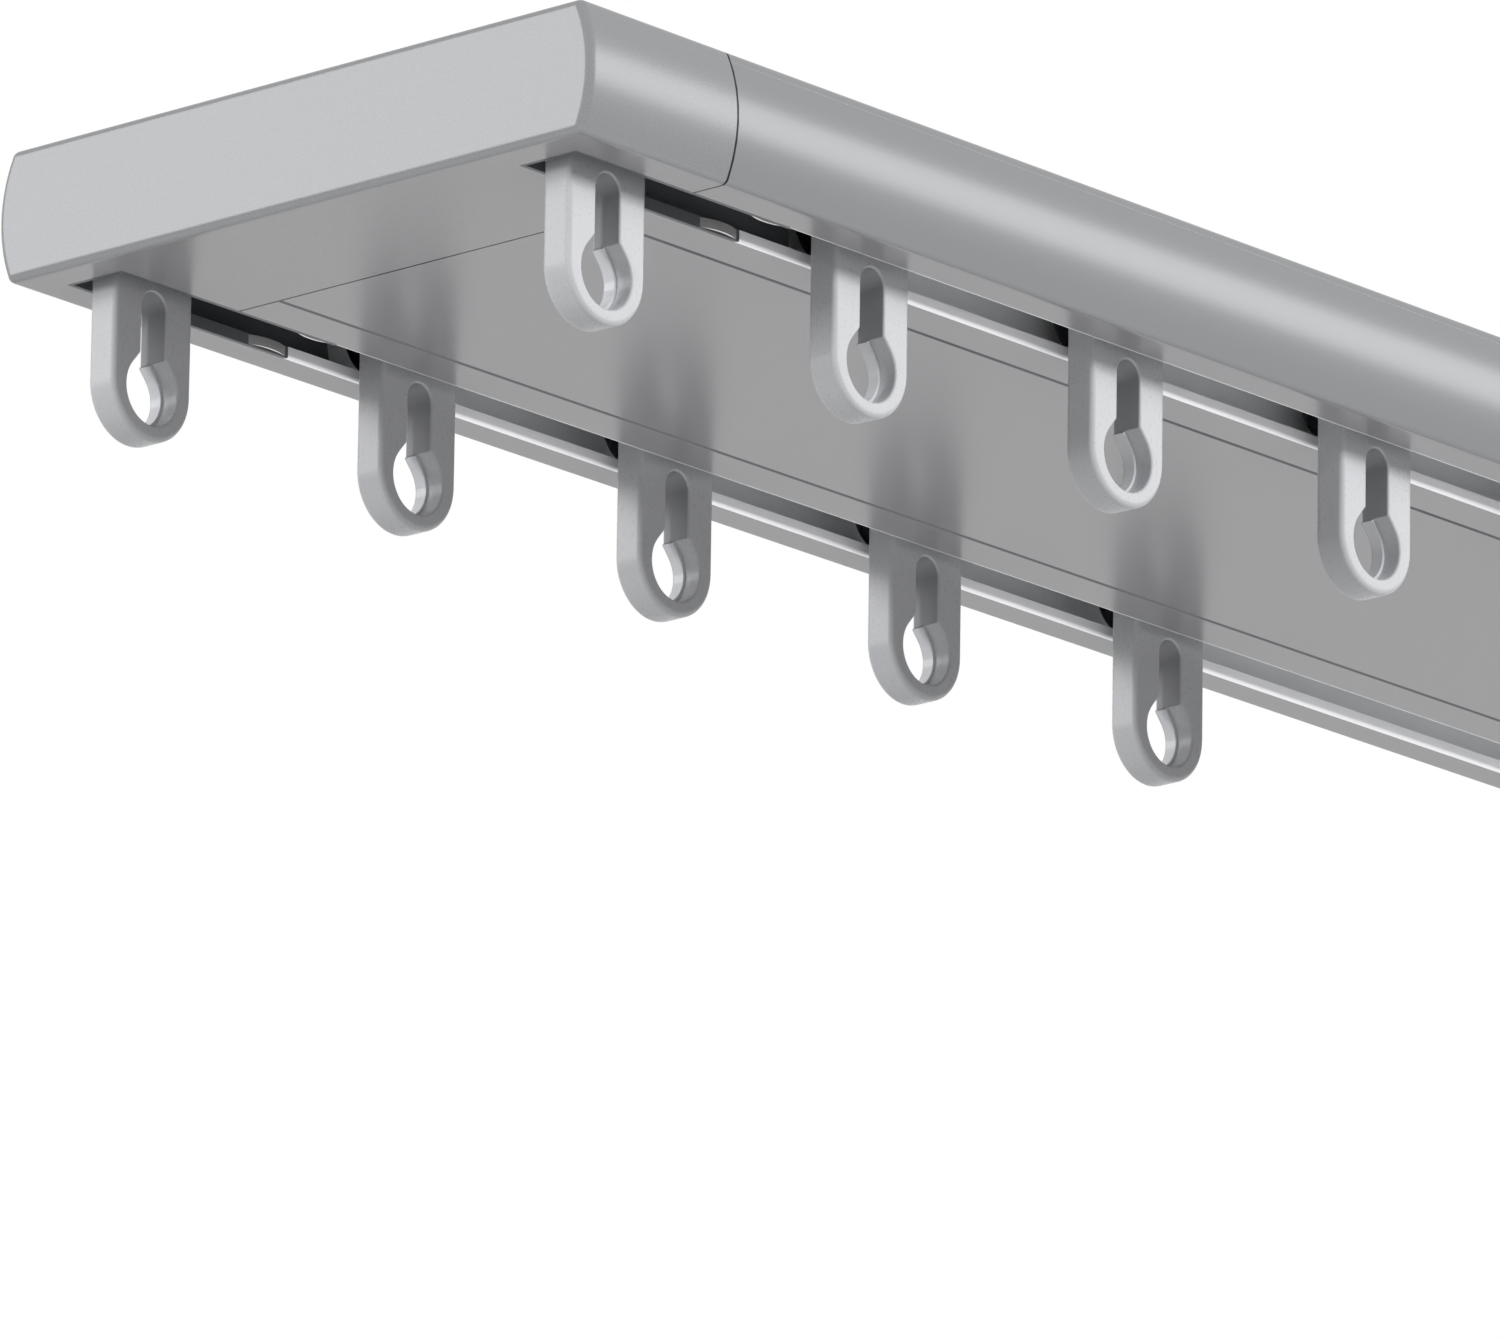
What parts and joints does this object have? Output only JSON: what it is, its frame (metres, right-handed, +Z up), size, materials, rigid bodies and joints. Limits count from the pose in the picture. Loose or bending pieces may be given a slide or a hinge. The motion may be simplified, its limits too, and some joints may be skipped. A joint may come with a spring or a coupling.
{
  "type": "curtain track",
  "caption": "Double ceiling curtain track: a satin aluminium rail with twin slotted channels, end caps and wheeled carriers with keyhole eyes.",
  "frame": {"origin": "centre of the flat top face, which lies against the ceiling", "axes": "+X along the track, +Y across it towards the far row, +Z up into the ceiling"},
  "size_m": [0.5, 0.104, 0.0384],
  "materials": {
    "anodised_aluminium": "satin anodised silver grey",
    "cap_plastic": "moulded, silver-grey lacquer",
    "insert_plastic": "moulded dark grey nylon",
    "carrier_plastic": "moulded grey acetal, semi-gloss",
    "wheel_plastic": "moulded black acetal, gloss tread",
    "steel": "bright zinc-plated steel"
  },
  "bodies": {
    "track": {"rail": "anodised_aluminium", "cover_strip": "anodised_aluminium", "end_cap_left": "cap_plastic", "end_cap_right": "cap_plastic", "cap_screws_left": "steel", "cap_screws_right": "steel", "retaining_springs_left": "steel", "retaining_springs_right": "steel", "near_insert_left": "insert_plastic", "near_insert_right": "insert_plastic", "far_insert_left": "insert_plastic", "far_insert_right": "insert_plastic"},
    "near_carrier_1": {"near_carrier_1": "carrier_plastic", "near_carrier_1_pin": "steel"},
    "near_carrier_1_inner_wheel": {"near_carrier_1_inner_wheel": "wheel_plastic"},
    "near_carrier_1_outer_wheel": {"near_carrier_1_outer_wheel": "wheel_plastic"},
    "near_carrier_2": {"near_carrier_2": "carrier_plastic", "near_carrier_2_pin": "steel"},
    "near_carrier_2_inner_wheel": {"near_carrier_2_inner_wheel": "wheel_plastic"},
    "near_carrier_2_outer_wheel": {"near_carrier_2_outer_wheel": "wheel_plastic"},
    "near_carrier_3": {"near_carrier_3": "carrier_plastic", "near_carrier_3_pin": "steel"},
    "near_carrier_3_inner_wheel": {"near_carrier_3_inner_wheel": "wheel_plastic"},
    "near_carrier_3_outer_wheel": {"near_carrier_3_outer_wheel": "wheel_plastic"},
    "near_carrier_4": {"near_carrier_4": "carrier_plastic", "near_carrier_4_pin": "steel"},
    "near_carrier_4_inner_wheel": {"near_carrier_4_inner_wheel": "wheel_plastic"},
    "near_carrier_4_outer_wheel": {"near_carrier_4_outer_wheel": "wheel_plastic"},
    "near_carrier_5": {"near_carrier_5": "carrier_plastic", "near_carrier_5_pin": "steel"},
    "near_carrier_5_inner_wheel": {"near_carrier_5_inner_wheel": "wheel_plastic"},
    "near_carrier_5_outer_wheel": {"near_carrier_5_outer_wheel": "wheel_plastic"},
    "far_carrier_1": {"far_carrier_1": "carrier_plastic", "far_carrier_1_pin": "steel"},
    "far_carrier_1_inner_wheel": {"far_carrier_1_inner_wheel": "wheel_plastic"},
    "far_carrier_1_outer_wheel": {"far_carrier_1_outer_wheel": "wheel_plastic"},
    "far_carrier_2": {"far_carrier_2": "carrier_plastic", "far_carrier_2_pin": "steel"},
    "far_carrier_2_inner_wheel": {"far_carrier_2_inner_wheel": "wheel_plastic"},
    "far_carrier_2_outer_wheel": {"far_carrier_2_outer_wheel": "wheel_plastic"},
    "far_carrier_3": {"far_carrier_3": "carrier_plastic", "far_carrier_3_pin": "steel"},
    "far_carrier_3_inner_wheel": {"far_carrier_3_inner_wheel": "wheel_plastic"},
    "far_carrier_3_outer_wheel": {"far_carrier_3_outer_wheel": "wheel_plastic"},
    "far_carrier_4": {"far_carrier_4": "carrier_plastic", "far_carrier_4_pin": "steel"},
    "far_carrier_4_inner_wheel": {"far_carrier_4_inner_wheel": "wheel_plastic"},
    "far_carrier_4_outer_wheel": {"far_carrier_4_outer_wheel": "wheel_plastic"},
    "far_carrier_5": {"far_carrier_5": "carrier_plastic", "far_carrier_5_pin": "steel"},
    "far_carrier_5_inner_wheel": {"far_carrier_5_inner_wheel": "wheel_plastic"},
    "far_carrier_5_outer_wheel": {"far_carrier_5_outer_wheel": "wheel_plastic"}
  },
  "joints": [
    {"name": "near_carrier_1_slide", "type": "slide", "parent": "track", "child": "near_carrier_1", "axis": [1, 0, 0], "range_m": [-0.0008, 0.0358]},
    {"name": "near_carrier_1_inner_wheel_spin", "type": "hinge", "parent": "near_carrier_1", "child": "near_carrier_1_inner_wheel", "pos_m": [-0.2354, -0.03975, -0.0103], "axis": [0, 1, 0], "continuous": true},
    {"name": "near_carrier_1_outer_wheel_spin", "type": "hinge", "parent": "near_carrier_1", "child": "near_carrier_1_outer_wheel", "pos_m": [-0.2354, -0.03975, -0.0103], "axis": [0, 1, 0], "continuous": true},
    {"name": "near_carrier_2_slide", "type": "slide", "parent": "track", "child": "near_carrier_2", "axis": [1, 0, 0], "range_m": [-0.0358, 0.0358]},
    {"name": "near_carrier_2_inner_wheel_spin", "type": "hinge", "parent": "near_carrier_2", "child": "near_carrier_2_inner_wheel", "pos_m": [-0.1844, -0.03975, -0.0103], "axis": [0, 1, 0], "continuous": true},
    {"name": "near_carrier_2_outer_wheel_spin", "type": "hinge", "parent": "near_carrier_2", "child": "near_carrier_2_outer_wheel", "pos_m": [-0.1844, -0.03975, -0.0103], "axis": [0, 1, 0], "continuous": true},
    {"name": "near_carrier_3_slide", "type": "slide", "parent": "track", "child": "near_carrier_3", "axis": [1, 0, 0], "range_m": [-0.0358, 0.0358]},
    {"name": "near_carrier_3_inner_wheel_spin", "type": "hinge", "parent": "near_carrier_3", "child": "near_carrier_3_inner_wheel", "pos_m": [-0.1334, -0.03975, -0.0103], "axis": [0, 1, 0], "continuous": true},
    {"name": "near_carrier_3_outer_wheel_spin", "type": "hinge", "parent": "near_carrier_3", "child": "near_carrier_3_outer_wheel", "pos_m": [-0.1334, -0.03975, -0.0103], "axis": [0, 1, 0], "continuous": true},
    {"name": "near_carrier_4_slide", "type": "slide", "parent": "track", "child": "near_carrier_4", "axis": [1, 0, 0], "range_m": [-0.0358, 0.0358]},
    {"name": "near_carrier_4_inner_wheel_spin", "type": "hinge", "parent": "near_carrier_4", "child": "near_carrier_4_inner_wheel", "pos_m": [-0.0824, -0.03975, -0.0103], "axis": [0, 1, 0], "continuous": true},
    {"name": "near_carrier_4_outer_wheel_spin", "type": "hinge", "parent": "near_carrier_4", "child": "near_carrier_4_outer_wheel", "pos_m": [-0.0824, -0.03975, -0.0103], "axis": [0, 1, 0], "continuous": true},
    {"name": "near_carrier_5_slide", "type": "slide", "parent": "track", "child": "near_carrier_5", "axis": [1, 0, 0], "range_m": [-0.0358, 0.2676]},
    {"name": "near_carrier_5_inner_wheel_spin", "type": "hinge", "parent": "near_carrier_5", "child": "near_carrier_5_inner_wheel", "pos_m": [-0.0314, -0.03975, -0.0103], "axis": [0, 1, 0], "continuous": true},
    {"name": "near_carrier_5_outer_wheel_spin", "type": "hinge", "parent": "near_carrier_5", "child": "near_carrier_5_outer_wheel", "pos_m": [-0.0314, -0.03975, -0.0103], "axis": [0, 1, 0], "continuous": true},
    {"name": "far_carrier_1_slide", "type": "slide", "parent": "track", "child": "far_carrier_1", "axis": [1, 0, 0], "range_m": [-0.0008, 0.0358]},
    {"name": "far_carrier_1_inner_wheel_spin", "type": "hinge", "parent": "far_carrier_1", "child": "far_carrier_1_inner_wheel", "pos_m": [-0.2354, 0.03975, -0.0103], "axis": [0, 1, 0], "continuous": true},
    {"name": "far_carrier_1_outer_wheel_spin", "type": "hinge", "parent": "far_carrier_1", "child": "far_carrier_1_outer_wheel", "pos_m": [-0.2354, 0.03975, -0.0103], "axis": [0, 1, 0], "continuous": true},
    {"name": "far_carrier_2_slide", "type": "slide", "parent": "track", "child": "far_carrier_2", "axis": [1, 0, 0], "range_m": [-0.0358, 0.0358]},
    {"name": "far_carrier_2_inner_wheel_spin", "type": "hinge", "parent": "far_carrier_2", "child": "far_carrier_2_inner_wheel", "pos_m": [-0.1844, 0.03975, -0.0103], "axis": [0, 1, 0], "continuous": true},
    {"name": "far_carrier_2_outer_wheel_spin", "type": "hinge", "parent": "far_carrier_2", "child": "far_carrier_2_outer_wheel", "pos_m": [-0.1844, 0.03975, -0.0103], "axis": [0, 1, 0], "continuous": true},
    {"name": "far_carrier_3_slide", "type": "slide", "parent": "track", "child": "far_carrier_3", "axis": [1, 0, 0], "range_m": [-0.0358, 0.0358]},
    {"name": "far_carrier_3_inner_wheel_spin", "type": "hinge", "parent": "far_carrier_3", "child": "far_carrier_3_inner_wheel", "pos_m": [-0.1334, 0.03975, -0.0103], "axis": [0, 1, 0], "continuous": true},
    {"name": "far_carrier_3_outer_wheel_spin", "type": "hinge", "parent": "far_carrier_3", "child": "far_carrier_3_outer_wheel", "pos_m": [-0.1334, 0.03975, -0.0103], "axis": [0, 1, 0], "continuous": true},
    {"name": "far_carrier_4_slide", "type": "slide", "parent": "track", "child": "far_carrier_4", "axis": [1, 0, 0], "range_m": [-0.0358, 0.0358]},
    {"name": "far_carrier_4_inner_wheel_spin", "type": "hinge", "parent": "far_carrier_4", "child": "far_carrier_4_inner_wheel", "pos_m": [-0.0824, 0.03975, -0.0103], "axis": [0, 1, 0], "continuous": true},
    {"name": "far_carrier_4_outer_wheel_spin", "type": "hinge", "parent": "far_carrier_4", "child": "far_carrier_4_outer_wheel", "pos_m": [-0.0824, 0.03975, -0.0103], "axis": [0, 1, 0], "continuous": true},
    {"name": "far_carrier_5_slide", "type": "slide", "parent": "track", "child": "far_carrier_5", "axis": [1, 0, 0], "range_m": [-0.0358, 0.2676]},
    {"name": "far_carrier_5_inner_wheel_spin", "type": "hinge", "parent": "far_carrier_5", "child": "far_carrier_5_inner_wheel", "pos_m": [-0.0314, 0.03975, -0.0103], "axis": [0, 1, 0], "continuous": true},
    {"name": "far_carrier_5_outer_wheel_spin", "type": "hinge", "parent": "far_carrier_5", "child": "far_carrier_5_outer_wheel", "pos_m": [-0.0314, 0.03975, -0.0103], "axis": [0, 1, 0], "continuous": true}
  ],
  "couplings": [
    {"joint": "near_carrier_1_inner_wheel_spin", "follows": "near_carrier_1_slide", "rad_per_m": 166.67},
    {"joint": "near_carrier_1_outer_wheel_spin", "follows": "near_carrier_1_slide", "rad_per_m": 166.67},
    {"joint": "near_carrier_2_inner_wheel_spin", "follows": "near_carrier_2_slide", "rad_per_m": 166.67},
    {"joint": "near_carrier_2_outer_wheel_spin", "follows": "near_carrier_2_slide", "rad_per_m": 166.67},
    {"joint": "near_carrier_3_inner_wheel_spin", "follows": "near_carrier_3_slide", "rad_per_m": 166.67},
    {"joint": "near_carrier_3_outer_wheel_spin", "follows": "near_carrier_3_slide", "rad_per_m": 166.67},
    {"joint": "near_carrier_4_inner_wheel_spin", "follows": "near_carrier_4_slide", "rad_per_m": 166.67},
    {"joint": "near_carrier_4_outer_wheel_spin", "follows": "near_carrier_4_slide", "rad_per_m": 166.67},
    {"joint": "near_carrier_5_inner_wheel_spin", "follows": "near_carrier_5_slide", "rad_per_m": 166.67},
    {"joint": "near_carrier_5_outer_wheel_spin", "follows": "near_carrier_5_slide", "rad_per_m": 166.67},
    {"joint": "far_carrier_1_inner_wheel_spin", "follows": "far_carrier_1_slide", "rad_per_m": 166.67},
    {"joint": "far_carrier_1_outer_wheel_spin", "follows": "far_carrier_1_slide", "rad_per_m": 166.67},
    {"joint": "far_carrier_2_inner_wheel_spin", "follows": "far_carrier_2_slide", "rad_per_m": 166.67},
    {"joint": "far_carrier_2_outer_wheel_spin", "follows": "far_carrier_2_slide", "rad_per_m": 166.67},
    {"joint": "far_carrier_3_inner_wheel_spin", "follows": "far_carrier_3_slide", "rad_per_m": 166.67},
    {"joint": "far_carrier_3_outer_wheel_spin", "follows": "far_carrier_3_slide", "rad_per_m": 166.67},
    {"joint": "far_carrier_4_inner_wheel_spin", "follows": "far_carrier_4_slide", "rad_per_m": 166.67},
    {"joint": "far_carrier_4_outer_wheel_spin", "follows": "far_carrier_4_slide", "rad_per_m": 166.67},
    {"joint": "far_carrier_5_inner_wheel_spin", "follows": "far_carrier_5_slide", "rad_per_m": 166.67},
    {"joint": "far_carrier_5_outer_wheel_spin", "follows": "far_carrier_5_slide", "rad_per_m": 166.67}
  ]
}
